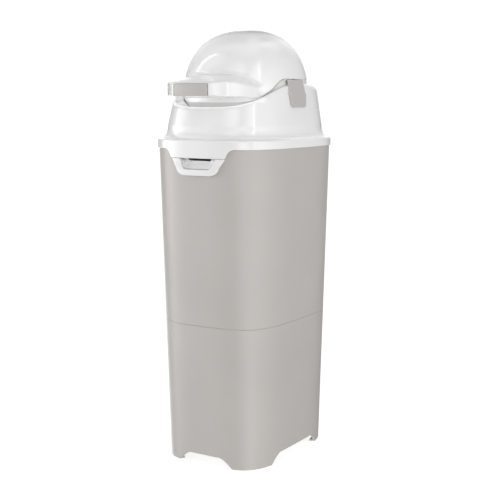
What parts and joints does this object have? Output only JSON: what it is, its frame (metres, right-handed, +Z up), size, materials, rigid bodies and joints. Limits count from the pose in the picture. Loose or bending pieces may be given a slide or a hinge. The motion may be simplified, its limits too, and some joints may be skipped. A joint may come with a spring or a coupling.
{
  "type": "nappy bin",
  "caption": "Tall free-standing nappy bin with a tapered two-section body, a hinged top cover and a domed drum lid that flips over on side pivots by a visor handle.",
  "frame": {"origin": "on the floor under the middle of the bin's bounding box", "axes": "+Z up, front with the handle and latch towards -Y, drum axis along X"},
  "size_m": [0.2288, 0.3377, 0.72],
  "materials": {
    "shell_grey": "satin moulded",
    "gloss_white": "polished",
    "inner_white": "moulded",
    "trim_grey": "satin moulded",
    "seal_grey": "soft",
    "steel": "zinc plated"
  },
  "bodies": {
    "bin": {"base_section": "shell_grey", "body_shell": "shell_grey", "latch_frame": "gloss_white", "latch_housing": "inner_white", "latch_spring": "steel", "latch_screws": "steel", "hinge_bracket": "shell_grey", "hinge_screws": "steel", "hinge_pin": "steel"},
    "latch": {"latch_button": "gloss_white"},
    "cover": {"top_cover": "gloss_white", "lid_gasket": "seal_grey", "seal_frame": "inner_white", "drum_seal": "seal_grey", "frame_screws": "steel", "pivot_bush_left": "inner_white", "pivot_bush_right": "inner_white", "pivot_strap_left": "trim_grey", "pivot_strap_right": "trim_grey"},
    "drum": {"drum_dome": "gloss_white", "visor_plate": "gloss_white", "handle_plate": "trim_grey", "drum_body": "inner_white", "drum_liner": "inner_white", "chamber_cap": "inner_white", "drum_screws": "steel", "pivot_pin_left": "steel", "pivot_pin_right": "steel"},
    "piston": {"piston": "inner_white"}
  },
  "joints": [
    {"name": "cover_lift", "type": "hinge", "parent": "bin", "child": "cover", "pos_m": [0, 0.15894, 0.516], "axis": [-1, 0, 0], "range_deg": [0, 100]},
    {"name": "drum_flip", "type": "hinge", "parent": "cover", "child": "drum", "pos_m": [0, 0, 0.615], "axis": [-1, 0, 0], "range_deg": [0, 156]},
    {"name": "piston_drop", "type": "slide", "parent": "drum", "child": "piston", "axis": [0, 0, 1], "range_m": [0, 0.11]},
    {"name": "latch_press", "type": "slide", "parent": "bin", "child": "latch", "axis": [0, 1, 0], "range_m": [0, 0.004], "stiffness_N_per_m": 800, "springref_m": -0.002, "deforming": ["latch_spring"]}
  ]
}
